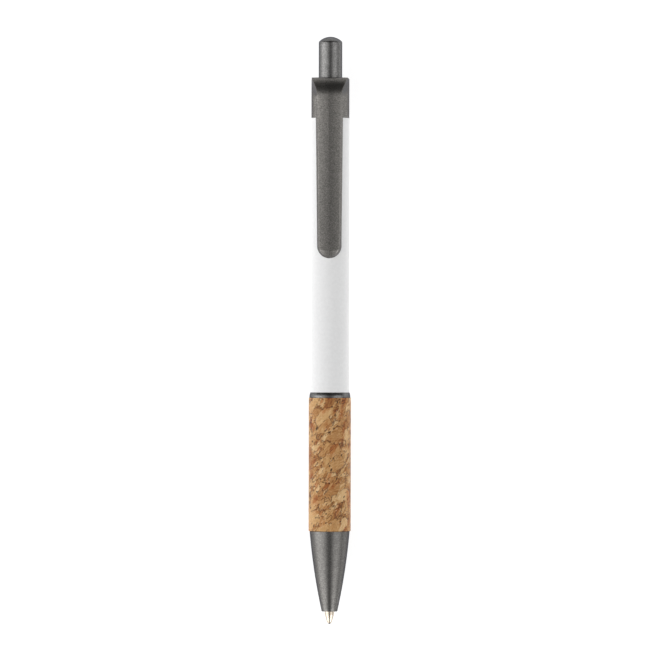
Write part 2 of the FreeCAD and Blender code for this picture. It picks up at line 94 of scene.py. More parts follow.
CONE_START, CORK_START = station("nose_cone", 0), station("cork_sleeve", 0)
CORK_END, BARREL_START = station("cork_sleeve", 1), station("barrel_tube", 0)
CAP_SHIFT = 0.2         # how much nearer to the point the cap and the clip's root are drawn than in the CAD
CLIP_END_SHIFT = 0.15   # the same, for the clip's free end
CAP_START, CAP_END = station("cap_shell", 0) - CAP_SHIFT, station("cap_shell", 1) - CAP_SHIFT
PEN_END = station("push_button", 1)
CAP_RADIUS = radius_of("barrel_tube") - 0.08
CORE_BORE = radius_of("grip_core") - 0.14       # of the pieces pressed on the grip's core
SLEEVE_BORE = radius_of("cam_sleeve") + 0.03    # of the pieces round the cam sleeve
CAP_WALL_ANGLE = math.radians(80)               # where the shoulder meets the cap's side, from straight up


# ---------------------------------------------------------------- mesh helpers

def new_object(name, bm, sharp_angle=40.0):
    """A mesh object made from bm, smooth except at edges sharper than sharp_angle degrees."""
    bmesh.ops.recalc_face_normals(bm, faces=bm.faces)
    for face in bm.faces:
        face.smooth = True
    for edge in bm.edges:
        edge.smooth = edge.calc_face_angle(0.0) < math.radians(sharp_angle)
    mesh = bpy.data.meshes.new(name)
    bm.to_mesh(mesh)
    bm.free()
    piece = bpy.data.objects.new(name, mesh)
    bpy.context.scene.collection.objects.link(piece)
    weighted = piece.modifiers.new("even_normals", "WEIGHTED_NORMAL")
    weighted.keep_sharp = True
    return piece


def rounded(before, corner, after, radius, steps=4):
    """Points that round a corner off, starting and ending at most radius away from it."""
    to_before, to_after = before - corner, after - corner
    first = corner + to_before * min(radius / max(to_before.length, 1e-9), 0.48)
    last = corner + to_after * min(radius / max(to_after.length, 1e-9), 0.48)
    points = []
    for step in range(steps + 1):
        t = step / steps
        points.append(first * (1 - t) ** 2 + corner * (2 * t * (1 - t)) + last * t ** 2)
    return points


def outline(corners):
    """A closed outline of (radius, station, rounding) corners, with its corners rounded."""
    flat = [Vector((corner[0], corner[1])) for corner in corners]
    points = []
    for number, corner in enumerate(corners):
        rounding = corner[2] if len(corner) > 2 else 0.0
        if rounding:
            points += rounded(flat[number - 1], flat[number], flat[(number + 1) % len(flat)], rounding)
        else:
            points.append(flat[number])
    return points


def arc(start, end, curve_radius, steps):
    """Points between two (radius, station) corners on an arc that bulges away from the axis."""
    a, b = Vector(start), Vector(end)
    chord = b - a
    outward = Vector((chord.y, -chord.x)).normalized()
    centre = (a + b) / 2 - outward * math.sqrt(curve_radius ** 2 - (chord.length / 2) ** 2)
    first = math.atan2(a.y - centre.y, a.x - centre.x)
    last = math.atan2(b.y - centre.y, b.x - centre.x)
    points = []
    for step in range(1, steps):
        angle = first + (last - first) * step / steps
        point = centre + curve_radius * Vector((math.cos(angle), math.sin(angle)))
        points.append(tuple(point))
    return points


def turned(name, points, segments=128, sharp_angle=40.0, shape=None):
    """Turn a closed outline of (radius, station) points about the pen's axis.

    shape(angle, radius, along) may change the radius of a point.
    """
    bm = bmesh.new()
    rings = []
    for radius, along in points:
        if radius < 1e-6:
            rings.append([bm.verts.new(place(0, along, 0))])
            continue
        ring = []
        for segment in range(segments):
            angle = 2 * math.pi * segment / segments
            here = shape(angle, radius, along) if shape else radius
            ring.append(bm.verts.new(place(here * math.sin(angle), along, here * math.cos(angle))))
        rings.append(ring)
    for number, ring in enumerate(rings):
        following = rings[(number + 1) % len(rings)]
        if len(ring) == 1 and len(following) == 1:
            continue
        for segment in range(segments):
            after = (segment + 1) % segments
            if len(ring) == 1:
                bm.faces.new((ring[0], following[after], following[segment]))
            elif len(following) == 1:
                bm.faces.new((ring[segment], ring[after], following[0]))
            else:
                bm.faces.new((ring[segment], ring[after], following[after], following[segment]))
    return new_object(name, bm, sharp_angle)


def finish_piece(piece, material, slot, *nodes):
    """Give a new piece its material and hide the CAD nodes that it stands for; slot is not used."""
    piece.data.materials.clear()
    piece.data.materials.append(material)
    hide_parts(*nodes)
    return piece


# ---------------------------------------------------------------- materials

def fill_ramp(node, stops):
    """Set a colour ramp's stops of (position, colour), where a number stands for a grey."""
    elements = node.color_ramp.elements
    while len(elements) < len(stops):
        elements.new(0.5)
    for element, (position, colour) in zip(elements, stops):
        element.position = position
        grey = isinstance(colour, (int, float))
        element.color = (colour, colour, colour, 1) if grey else (*colour, 1)


class Nodes:
    """Short calls for building a node tree."""

    def __init__(self, tree):
        self.tree = tree

    def add(self, kind, **values):
        node = self.tree.nodes.new(kind)
        for key, value in values.items():
            setattr(node, key, value)
        return node

    def link(self, source, target):
        self.tree.links.new(source, target)

    def coordinates(self, stretch=(1, 1, 1), turn=0.0, shift=(0, 0, 0)):
        """Object coordinates in millimetres, for a pattern that is stretched, turned about Z and shifted."""
        source = self.add("ShaderNodeTexCoord")
        mapping = self.add("ShaderNodeMapping", vector_type="TEXTURE")
        mapping.inputs["Scale"].default_value = [value * MM for value in stretch]
        mapping.inputs["Rotation"].default_value = (0, 0, math.radians(turn))
        mapping.inputs["Location"].default_value = [value * MM for value in shift]
        self.link(source.outputs["Object"], mapping.inputs["Vector"])
        return mapping.outputs["Vector"]

    def noise(self, vector, scale, detail=3.0, roughness=0.5, distortion=0.0, output="Fac"):
        node = self.add("ShaderNodeTexNoise")
        node.inputs["Scale"].default_value = scale
        node.inputs["Detail"].default_value = detail
        node.inputs["Roughness"].default_value = roughness
        node.inputs["Distortion"].default_value = distortion
        self.link(vector, node.inputs["Vector"])
        return node.outputs[output]

    def voronoi(self, vector, scale, feature="F1", output="Distance"):
        node = self.add("ShaderNodeTexVoronoi", feature=feature)
        node.inputs["Scale"].default_value = scale
        self.link(vector, node.inputs["Vector"])
        return node.outputs[output]

    def ramp(self, value, stops):
        node = self.add("ShaderNodeValToRGB")
        fill_ramp(node, stops)
        self.link(value, node.inputs["Fac"])
        return node.outputs["Color"]

    def math(self, operation, first, second=0.0):
        node = self.add("ShaderNodeMath", operation=operation)
        for value, target in ((first, node.inputs[0]), (second, node.inputs[1])):
            if isinstance(value, (int, float)):
                target.default_value = value
            else:
                self.link(value, target)
        return node.outputs[0]

    def mix(self, factor, first, second, blend="MIX"):
        node = self.add("ShaderNodeMix", data_type="RGBA", blend_type=blend)
        for value, target in ((factor, node.inputs[0]), (first, node.inputs[6]), (second, node.inputs[7])):
            if isinstance(value, (int, float)):
                target.default_value = value if target.type == "VALUE" else (value, value, value, 1)
            elif isinstance(value, tuple):
                target.default_value = (*value, 1)
            else:
                self.link(value, target)
        return node.outputs[2]


class MaterialNodes(Nodes):
    """A new material's node tree, round one Principled shader."""

    def __init__(self, name):
        self.material = bpy.data.materials.new(name)
        self.material.use_nodes = True
        super().__init__(self.material.node_tree)
        self.shader = self.tree.nodes["Principled BSDF"]

    def bump(self, height, strength, distance):
        """Bump of this depth in millimetres."""
        node = self.add("ShaderNodeBump")
        node.inputs["Strength"].default_value = strength
        node.inputs["Distance"].default_value = distance * MM
        self.link(height, node.inputs["Height"])
        self.link(node.outputs["Normal"], self.shader.inputs["Normal"])


def gunmetal(name, lightness, warmth, roughness):
    """Dark grey metallic finish with a fine, slightly sparkling grain.

    warmth is how much more red and less blue than grey it is, as a share.
    """
    n = MaterialNodes(name)
    place_mm = n.coordinates()
    flakes = n.add("ShaderNodeSeparateColor")
    n.link(n.voronoi(place_mm, 6.0, output="Color"), flakes.inputs[0])
    grain = n.noise(place_mm, 5.5, detail=2.0, roughness=0.7)
    speck = n.math("ADD", n.math("MULTIPLY", grain, 0.55), n.math("MULTIPLY", flakes.outputs[0], 0.45))
    tones = []
    for position, share in ((0.22, 0.68), (0.5, 1.0), (0.78, 1.46)):
        grey = share * lightness
        tones.append((position, (grey * (1 + warmth), grey, grey * (1 - 1.4 * warmth))))
    n.link(n.ramp(speck, tones), n.shader.inputs["Base Color"])
    n.link(n.ramp(speck, [(0.3, roughness * 1.12), (0.7, roughness * 0.9)]), n.shader.inputs["Roughness"])
    n.shader.inputs["Metallic"].default_value = 1.0
    n.shader.inputs["Specular Tint"].default_value = (0.34, 0.35, 0.39, 1)
    n.bump(speck, 0.5, 0.02)
    return n.material


def satin_white():
    """White satin lacquer with a faint orange peel."""
    n = MaterialNodes("satin_white")
    place_mm = n.coordinates()
    peel = n.noise(place_mm, 1.6, detail=2.0)
    dust = n.noise(place_mm, 9.0, detail=2.0)
    n.link(n.ramp(peel, [(0.3, 0.84), (0.7, 0.88)]), n.shader.inputs["Base Color"])
    n.link(n.ramp(dust, [(0.3, 0.44), (0.7, 0.54)]), n.shader.inputs["Roughness"])
    n.shader.inputs["Specular IOR Level"].default_value = 0.2
    n.bump(peel, 0.15, 0.01)
    return n.material


def cork():
    """Agglomerated cork: overlapping slanting chips, each with its own grain, and dark seams."""
    n = MaterialNodes("cork")
    place_mm = n.coordinates()
    slant = -42     # how far the chips lean, in degrees

    def cells(stretch, turn, scale, wobble_scale, wobble):
        """Chips: their random values, and the distance to the nearest seam."""
        shift = n.add("ShaderNodeVectorMath", operation="SCALE")
        n.link(n.noise(place_mm, wobble_scale, detail=2.0, roughness=0.6, output="Color"), shift.inputs[0])
        shift.inputs["Scale"].default_value = wobble
        warped = n.add("ShaderNodeVectorMath", operation="ADD")
        n.link(n.coordinates(stretch=stretch, turn=turn), warped.inputs[0])
        n.link(shift.outputs[0], warped.inputs[1])
        values = n.add("ShaderNodeSeparateColor")
        n.link(n.voronoi(warped.outputs[0], scale, output="Color"), values.inputs[0])
        seam_mm = n.math("DIVIDE", n.voronoi(warped.outputs[0], scale, feature="DISTANCE_TO_EDGE"), scale)
        return values.outputs, seam_mm

    big, big_edge = cells((0.8, 1.9, 1.2), slant, 0.40, 0.45, 1.0)
    small, small_edge = cells((0.6, 1.7, 0.9), slant + 6, 0.95, 0.9, 0.5)
    use_big = n.math("GREATER_THAN", big[1], 0.45)
    tone = n.mix(use_big, small[0], big[0])
    edge = n.mix(use_big, small_edge, big_edge)

    # each chip's grain runs its own way, mostly up to the right
    lean = n.math("ADD", n.math("MULTIPLY", n.mix(use_big, small[2], big[2]), 1.5), 0.1)
    turned_mm = n.add("ShaderNodeVectorRotate", rotation_type="Z_AXIS")
    n.link(place_mm, turned_mm.inputs["Vector"])
    n.link(lean, turned_mm.inputs["Angle"])
    narrow = n.add("ShaderNodeMapping")
    narrow.inputs["Scale"].default_value = (3.4, 0.6, 1.6)
    n.link(turned_mm.outputs[0], narrow.inputs["Vector"])
    fibres = n.noise(narrow.outputs[0], 1.1, detail=6.0, roughness=0.72, distortion=0.4)

    value = n.math("ADD", n.math("MULTIPLY", tone, 0.38), n.math("MULTIPLY", fibres, 0.95))
    colour = n.ramp(value, [(0.36, (0.220, 0.074, 0.019)), (0.50, (0.405, 0.178, 0.054)),
                            (0.66, (0.570, 0.315, 0.122)), (0.82, (0.680, 0.430, 0.200)),
                            (0.98, (0.800, 0.580, 0.330))])
    grit = n.noise(place_mm, 4.5, detail=5.0, roughness=0.8)
    colour = n.mix(0.8, colour, n.ramp(grit, [(0.32, 0.45), (0.43, 0.96), (0.7, 1.0)]), "MULTIPLY")
    patches = n.noise(n.coordinates(stretch=(0.8, 1.8, 1), turn=slant), 0.5, detail=3.0)
    rusty = n.mix(1.0, colour, (0.74, 0.46, 0.30), "MULTIPLY")
    colour = n.mix(n.ramp(patches, [(0.52, 0.0), (0.64, 0.9)]), colour, rusty)

    # thin dark seams along parts of the chips' edges
    thin = n.ramp(edge, [(0.0, 1.0), (0.05, 0.7), (0.13, 0.0)])
    patchy = n.ramp(n.noise(place_mm, 0.8, detail=3.0), [(0.47, 0.0), (0.55, 1.0)])
    seam = n.math("MULTIPLY", thin, patchy)
    colour = n.mix(n.math("MULTIPLY", seam, 0.9), colour, (0.115, 0.036, 0.011))

    # the mesh's own pits are painted dark inside, the deeper the darker: partly the cork pores' own dark
    # colour, partly painted shade in the hollows; and a few chips are pale
    pits = n.add("ShaderNodeAttribute", attribute_name="pit")
    colour = n.mix(n.math("MULTIPLY", pits.outputs["Fac"], 0.95), colour, (0.030, 0.012, 0.006))
    fleck = n.voronoi(n.coordinates(stretch=(0.7, 1.3, 1), turn=slant, shift=(3, 5, 7)), 1.0)
    colour = n.mix(n.ramp(fleck, [(0.08, 0.6), (0.16, 0.0)]), colour, (0.72, 0.58, 0.40))
    n.link(colour, n.shader.inputs["Base Color"])
    n.link(n.ramp(grit, [(0.3, 0.80), (0.7, 0.62)]), n.shader.inputs["Roughness"])
    n.shader.inputs["Specular IOR Level"].default_value = 0.3
    n.shader.inputs["Sheen Weight"].default_value = 0.25
    n.shader.inputs["Sheen Roughness"].default_value = 0.4
    height = n.math("SUBTRACT", n.math("MULTIPLY", value, 0.6), n.math("MULTIPLY", seam, 0.9))
    n.bump(height, 0.8, 0.12)
    return n.material


def turned_metal(name, dark, light, roughness, ring_scale=14.0):
    """Bare turned metal with fine tool rings round the pen's axis."""
    n = MaterialNodes(name)
    rings = n.noise(n.coordinates(stretch=(2.5, 1 / ring_scale, 2.5)), 1.0, detail=3.0)
    grain = n.noise(n.coordinates(), 6.0, detail=3.0)
    mixed = n.math("ADD", n.math("MULTIPLY", rings, 0.7), n.math("MULTIPLY", grain, 0.3))
    n.link(n.ramp(mixed, [(0.3, dark), (0.7, light)]), n.shader.inputs["Base Color"])
    n.link(n.ramp(mixed, [(0.3, roughness * 1.25), (0.7, roughness * 0.8)]), n.shader.inputs["Roughness"])
    n.shader.inputs["Metallic"].default_value = 1.0
    n.bump(mixed, 0.2, 0.01)
    return n.material


def moulded_plastic(name, dark, light, roughness, clear=0.0):
    """Injection-moulded plastic with a faint flow pattern; clear is how much light it lets through."""
    n = MaterialNodes(name)
    flow = n.noise(n.coordinates(stretch=(1, 4, 1)), 0.8, detail=3.0, distortion=0.6)
    fine = n.noise(n.coordinates(), 8.0, detail=2.0)
    n.link(n.ramp(flow, [(0.3, dark), (0.7, light)]), n.shader.inputs["Base Color"])
    n.link(n.ramp(fine, [(0.3, roughness * 1.2), (0.7, roughness * 0.85)]), n.shader.inputs["Roughness"])
    n.shader.inputs["Transmission Weight"].default_value = clear
    n.bump(fine, 0.2, 0.01)
    return n.material


def pale_floor():
    """Plain, matt and pale, with a light of its own, so that the pen throws hardly any shadow.

    It shines a little more in a square round the pen than further out.
    """
    n = MaterialNodes("pale_floor")
    place_mm = n.coordinates()
    fibre = n.noise(place_mm, 0.4, detail=4.0)
    n.link(n.ramp(fibre, [(0.3, 0.36), (0.7, 0.38)]), n.shader.inputs["Base Color"])
    split = n.add("ShaderNodeSeparateXYZ")
    n.link(place_mm, split.inputs[0])
    across, along = (n.math("ABSOLUTE", split.outputs[axis]) for axis in "XY")
    square_start, square_end, reach = 81.0, 110.0, 200.0
    from_middle = n.math("DIVIDE", n.math("MAXIMUM", across, along), reach)
    glow = n.ramp(from_middle, [(square_start / reach, 0.83), (square_end / reach, 0.66)])
    n.link(glow, n.shader.inputs["Emission Strength"])
    n.shader.inputs["Emission Color"].default_value = (1, 1, 1, 1)
    n.shader.inputs["Roughness"].default_value = 0.9
    n.shader.inputs["Specular IOR Level"].default_value = 0.1
    return n.material


GUNMETAL = gunmetal("gunmetal", 0.182, 0.015, 0.31)
CAP_METAL = gunmetal("gunmetal_cap", 0.205, 0.045, 0.38)
CONE_METAL = gunmetal("gunmetal_cone", 0.150, 0.035, 0.31)
SATIN_WHITE = satin_white()
CORK = cork()
NICKEL = turned_metal("nickel_silver", (0.45, 0.38, 0.30), (0.72, 0.64, 0.54), 0.24)
STEEL = turned_metal("spring_steel", (0.42, 0.42, 0.42), (0.66, 0.66, 0.66), 0.28, 3.0)
BALL = turned_metal("ball_steel", (0.10, 0.09, 0.085), (0.20, 0.19, 0.185), 0.25, 2.0)
WHITE_PLASTIC = moulded_plastic("white_plastic", (0.74, 0.74, 0.72), (0.84, 0.84, 0.82), 0.42)
DARK_PLASTIC = moulded_plastic("dark_plastic", (0.045, 0.045, 0.05), (0.075, 0.075, 0.08), 0.4)
CLEAR_PLASTIC = moulded_plastic("clear_plastic", (0.86, 0.88, 0.90), (0.94, 0.95, 0.96), 0.22, 0.7)
INK = moulded_plastic("ink", (0.006, 0.010, 0.060), (0.014, 0.022, 0.120), 0.12)


# ---------------------------------------------------------------- visible pieces

def make_push_button():
    """Hollow button with a domed end and a softly rounded rim below the dome."""
    radius = radius_of("push_button")
    bore = radius - 0.5
    start = station("push_button", 0)
    dome_height, end_thickness = 1.25, 2.4
    dome_radius = (radius ** 2 + dome_height ** 2) / (2 * dome_height)
    rim = PEN_END - dome_height
    inside_end = PEN_END - end_thickness
    points = outline([(bore, start), (radius, start, 0.12), (radius, rim, 0.38)]
                     + arc((radius, rim), (0.0, PEN_END), dome_radius, 14)
                     + [(0.0, PEN_END), (0.0, inside_end), (bore, inside_end)])
    piece = turned("push_button_shell", points)
    finish_piece(piece, GUNMETAL, "gunmetal", "push_button")
    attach(piece, "plunger")


def make_cap():
    """Cap tube with a flat top, which has the button's hole in it."""
    hole = radius_of("push_button") + 0.08
    under_top = CAP_END - 1.0
    piece = turned("cap", outline([
        (SLEEVE_BORE, CAP_START), (CAP_RADIUS, CAP_START, 0.08), (CAP_RADIUS, CAP_END, 0.4),
        (hole, CAP_END, 0.12), (hole, under_top), (SLEEVE_BORE, under_top)]))
    finish_piece(piece, CAP_METAL, "gunmetal", "cap_shell")
    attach(piece, "barrel")


def clamp(share):
    """The nearest value from 0 to 1."""
    return min(max(share, 0.0), 1.0)


def smooth(share):
    """A smooth step from 0 to 1."""
    return clamp(share) ** 2 * (3 - 2 * clamp(share))


class ClipShape:
    """The clip and its shoulder: where their surfaces are, at each place along the pen."""

    thickness = 1.25
    root = station("clip", 1) - thickness / 2 - CAP_SHIFT
    end = station("clip", 0) - CLIP_END_SHIFT
    root_height = (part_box("clip")[1].z - AXIS_HEIGHT) / MM
    tip_height = root_height - 0.75
    half_root, half_tip = 3.3, 2.875        # half the arm's width at its root and at its end
    tip_centre = end + half_tip             # the round end's centre
    draft_root, draft_tip = 0.50, 0.48      # how far the side walls spread below the front face
    foot_height = 5.1                       # where the shoulder meets the cap's top
    arm_start = root - 0.6                  # where the shoulder turns into the arm and begins to widen
    flare, flare_power = 1.65, 1.7          # how much the front face widens up to the cap's top
    wall_start, wall_end = root - 0.8, root + 2.1   # where the walls spread out to the cap's side
    wall_thickness = 0.18                   # at the walls' foot
    bevel_start, bevel_slope = 1.25, 0.17   # the round end's bevel, from an arc across the face
    bevel_step, bevel_blend = 0.045, 0.25   # the small step down to that bevel, and its length
    ridge_tip, ridge_root = 0.03, 0.08      # the front face's slope from its middle ridge, at both ends
    ridge_start, ridge_end = 96.0, 122.0    # where that slope changes from the one to the other
    crown = 0.03                            # how fast the front face curves away from its middle
    bump_place, bump_reach = 2.6, 2.4       # the bump under the arm, from its end, and half its length
    bump_height = 0.72
    sunk, sunk_at_top = 0.2, 0.45           # how deep the shoulder sits in the cap's side and near its top
    cap_top_length = 1.1                    # the stretch that counts as near the cap's top

    @classmethod
    def height(cls, along):
        """The front face's height above the pen's axis."""
        if along <= cls.root:
            share = (along - cls.end) / (cls.root - cls.end)
            return cls.tip_height + (cls.root_height - cls.tip_height) * share
        reach, rise = cls.root_height - cls.foot_height, CAP_END - cls.root
        curve = (reach ** 2 + rise ** 2) / (2 * reach)
        return cls.root_height - curve + math.sqrt(max(curve ** 2 - (along - cls.root) ** 2, 0.0))

    @classmethod
    def half_widths(cls, along):
        """Half the width of the front face, and half the width across the foot of its walls."""
        share = min((along - cls.end) / (cls.root - cls.end), 1.0)
        foot = cls.half_tip + (cls.half_root - cls.half_tip) * share
        face = foot - (cls.draft_tip + (cls.draft_root - cls.draft_tip) * share)
        widening = clamp((along - cls.arm_start) / (CAP_END - cls.arm_start)) ** cls.flare_power
        spread = clamp((along - cls.wall_start) / (cls.wall_end - cls.wall_start))
        side = CAP_RADIUS * math.sin(CAP_WALL_ANGLE)
        return face + cls.flare * widening, foot + (side - foot) * spread

    @classmethod
    def wall_share(cls, along):
        """0 where the clip's walls end at its underside, 1 where they reach down to the cap."""
        return clamp((along - cls.root + 0.2) / (cls.wall_end - cls.root))

    @classmethod
    def ridge_fall(cls, across, along):
        """How far the front face lies below its middle ridge."""
        share = clamp((along - cls.ridge_start) / (cls.ridge_end - cls.ridge_start))
        slope = cls.ridge_tip + (cls.ridge_root - cls.ridge_tip) * share
        return slope * across + cls.crown * across ** 2

    @classmethod
    def end_fall(cls, across, along):
        """How far the round end's bevel lies below the front face."""
        arc_share = math.sqrt(max(1 - (across / cls.half_tip) ** 2, 0.0))
        reach = cls.tip_centre - along - cls.bevel_start * arc_share
        return max(reach, 0.0) * cls.bevel_slope + cls.bevel_step * smooth(reach / cls.bevel_blend)

    @classmethod
    def underside(cls, along):
        """The height of the arm's flat underside, with the bump that holds on to a pocket's edge."""
        bump = smooth(1 - abs(along - cls.end - cls.bump_place) / cls.bump_reach)
        flat = (cls.height(along) - cls.thickness) * (1 - cls.wall_share(along))
        return flat - cls.bump_height * bump


def clip_section(along_face, along_foot, squeeze=1.0, inset=0.0, wall_foot=None):
    """Half of the clip's section: from the front face's ridge, round one side, to the underside's middle.

    squeeze narrows it, for the rounded end, and inset pulls it in, for the rounded top edge.
    wall_foot is the height of its walls' foot, where that isn't at the arm's underside or the cap.
    """
    shape = ClipShape
    face = (shape.half_widths(along_face)[0] - inset) * squeeze
    foot = shape.half_widths(along_foot)[1] * squeeze - inset
    height = shape.height(along_face) - inset
    front_steps, base_steps = 20, 8
    front = []
    for step in range(front_steps + 1):
        across = face * step / front_steps
        fall = shape.ridge_fall(across, along_face) + shape.end_fall(across, along_face)
        front.append(Vector((across, along_face, height - fall)))

    under = shape.height(along_foot) - shape.thickness
    spread = shape.wall_share(along_foot)
    flat = shape.underside(along_foot)
    if wall_foot is None:
        wall_foot = under + (CAP_RADIUS * math.cos(CAP_WALL_ANGLE) - under) * spread
    sunk = shape.sunk if along_foot < CAP_END - shape.cap_top_length else shape.sunk_at_top
    hidden = CAP_RADIUS - sunk
    base_width = max(foot - shape.wall_thickness * min(spread * 4, 1.0), 0.0)
    base = []
    for step in range(base_steps + 1):
        across = base_width * (1 - step / base_steps)
        low = flat
        if spread > 0:
            low = max(flat, math.sqrt(max(hidden ** 2 - across ** 2, 0.0)))
        base.append(Vector((across, along_foot, low)))
    edge_height = max(wall_foot, flat + 0.05) if spread > 0 else min(wall_foot, under)
    edge = Vector((foot, along_foot, edge_height))
    edge_rounding, edge_steps = 0.16, 5
    face_edge = rounded(front[-2], front[-1], edge, edge_rounding, edge_steps)
    return front[:-1] + face_edge + [edge] + base


def clip_sections():
    """The clip's sections, from the cap's top to the arm's round end."""
    shape = ClipShape
    sections = []
    edge_radius, edge_steps, shoulder_steps, arm_steps, end_steps = 0.28, 4, 34, 60, 36
    for step in range(edge_steps + 1):
        angle = math.pi / 2 * step / edge_steps
        along = CAP_END + 0.01 - edge_radius * (1 - math.cos(angle))
        sections.append(clip_section(along, along, inset=edge_radius * (1 - math.sin(angle)) * 0.9))
    top = CAP_END - edge_radius
    for step in range(1, shoulder_steps + 1):
        along = top + (shape.arm_start - top) * step / shoulder_steps
        sections.append(clip_section(along, along))
    for step in range(1, arm_steps + 1):
        along = shape.arm_start + (shape.tip_centre - shape.arm_start) * step / arm_steps
        sections.append(clip_section(along, along))
    inner_end = shape.end + shape.draft_tip
    for step in range(1, end_steps + 1):
        angle = math.pi / 2 * step / end_steps
        along_face = shape.tip_centre - (shape.tip_centre - inner_end) * math.sin(angle)
        along_foot = shape.tip_centre - (shape.tip_centre - shape.end) * math.sin(angle)
        wall_foot = shape.height(along_foot) - shape.thickness - 0.12 * math.sin(angle)
        sections.append(clip_section(along_face, along_foot, math.cos(angle), wall_foot=wall_foot))
    return sections


def make_clip():
    """One smooth moulding of the clip's shoulder on the cap and its arm."""
    bm = bmesh.new()
    loops = []
    for half in clip_sections():
        right = [bm.verts.new(place(*point)) for point in half]
        left = [bm.verts.new(place(-point.x, point.y, point.z)) for point in half[-2:0:-1]]
        loops.append(right + left)
    count = len(loops[0])
    for before, after in zip(loops, loops[1:]):
        for number in range(count):
            beyond = (number + 1) % count
            bm.faces.new((before[number], before[beyond], after[beyond], after[number]))
    top_face = bm.faces.new(loops[0])
    bmesh.ops.triangulate(bm, faces=[top_face])
    bmesh.ops.remove_doubles(bm, verts=bm.verts, dist=0.004 * MM)
    bmesh.ops.dissolve_degenerate(bm, edges=bm.edges, dist=0.001 * MM)
    piece = new_object("clip_and_shoulder", bm)
    finish_piece(piece, CAP_METAL, "gunmetal", "clip")
    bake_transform(piece)


def make_barrel():
    """Plain tube from the trim ring to the cap."""
    radius = radius_of("barrel_tube")
    piece = turned("barrel", outline([
        (SLEEVE_BORE, BARREL_START), (radius, BARREL_START, 0.06),
        (radius, CAP_START, 0.06), (SLEEVE_BORE, CAP_START)]), 160)
    finish_piece(piece, SATIN_WHITE, "satin_white", "barrel_tube")
    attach(piece, "barrel")


def make_trim_ring():
    """Ring whose side is nearly straight above the cork, then bevelled in to the barrel."""
    radius = radius_of("trim_ring")
    bevel_start = CORK_END + 0.74
    piece = turned("ring", outline([
        (CORE_BORE, CORK_END), (radius, CORK_END, 0.12), (radius - 0.04, bevel_start, 0.3),
        (radius - 0.24, BARREL_START, 0.08), (CORE_BORE, BARREL_START)]), 160)
    finish_piece(piece, GUNMETAL, "gunmetal", "trim_ring")
    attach(piece, "barrel")


def make_nose_cone():
    """Slightly bulging cone, with a ringed spigot that goes into the grip and a stepped bore."""
    base, tip_bore = radius_of("nose_cone"), radius_of("writing_tip") + 0.08
    mouth, bulge_radius = 1.875, 148.0
    cone_end = CORK_START - 0.05
    spigot, spigot_end = 3.05, station("nose_cone", 1)
    ridge, first_ridge, pitch = 3.27, CORK_START + 1.2, 1.5
    wide_bore, spring_bore, spring_seat = 2.5, 2.3, 8.0
    corners = [(tip_bore, CONE_START, 0.05), (mouth, CONE_START, 0.1)]
    corners += arc((mouth, CONE_START), (base, cone_end), bulge_radius, 24)
    corners += [(base, cone_end, 0.1), (spigot, cone_end)]
    for turn in range(4):
        foot = first_ridge + pitch * turn
        corners += [(spigot, foot, 0.05), (ridge, foot + 0.23, 0.08)]
        corners += [(ridge, foot + 0.47, 0.08), (spigot, foot + 0.7, 0.05)]
    corners += [(spigot, spigot_end, 0.12), (wide_bore, spigot_end), (wide_bore, 13.0)]
    corners += [(spring_bore, 12.5), (spring_bore, spring_seat), (tip_bore, spring_seat)]
    piece = turned("nose", outline(corners))
    finish_piece(piece, CONE_METAL, "gunmetal", "nose_cone")
    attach(piece, "nose_cone")


def make_writing_tip():
    """Refill tip: the ball's seat, the thin rim round the ball, two cones, and a shank behind them."""
    radius, bore, shank = radius_of("writing_tip"), 0.22, 0.6
    end = station("writing_tip", 1)
    shank_start = end - 4.0
    piece = turned("tip_point", outline([
        (bore, 0.74), (0.30, 0.60, 0.02), (0.365, 0.42, 0.02), (0.362, 0.25), (0.40, 0.25, 0.03),
        (0.60, 0.58, 0.06), (radius, 2.44, 0.3), (radius, shank_start, 0.1),
        (shank, shank_start), (shank, end), (bore, end)]), 96)
    finish_piece(piece, NICKEL, "nickel_silver", "writing_tip")
    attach(piece, "refill")


def make_ball():
    """The writing ball, whose end is the pen's end."""
    radius, steps = radius_of("tip_ball"), 24
    points = [(0.0, 0.0)]
    for step in range(1, steps):
        angle = math.pi * step / steps
        points.append((radius * math.sin(angle), radius - radius * math.cos(angle)))
    points.append((0.0, 2 * radius))
    piece = turned("ball", points, 48)
    finish_piece(piece, BALL, "ball_steel", "tip_ball")
    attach(piece, "tip_ball")


def make_spring():
    """Coil spring, with its coils closer at its ends, between the nose and the refill."""
    start, end = station("return_spring", 0), station("return_spring", 1)
    wire, mean, turns, steps_per_turn, sides = 0.2, 1.9, 11, 36, 10
    closeness = 0.55
    steps = turns * steps_per_turn
    bm = bmesh.new()
    rings = []
    for step in range(steps + 1):
        share = step / steps
        angle = 2 * math.pi * turns * share
        ease = share - closeness * math.sin(2 * math.pi * share) / (2 * math.pi)
        along = start + wire + (end - start - 2 * wire) * ease
        ring = []
        for side in range(sides):
            round_wire = 2 * math.pi * side / sides
            radius = mean + wire * math.cos(round_wire)
            across, height = radius * math.sin(angle), radius * math.cos(angle)
            ring.append(bm.verts.new(place(across, along + wire * math.sin(round_wire), height)))
        rings.append(ring)
    for before, after in zip(rings, rings[1:]):
        for side in range(sides):
            beyond = (side + 1) % sides
            bm.faces.new((before[side], before[beyond], after[beyond], after[side]))
    bm.faces.new(rings[0])
    bm.faces.new(rings[-1])
    piece = new_object("spring", bm)
    finish_piece(piece, STEEL, "spring_steel", "return_spring")
    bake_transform(piece)


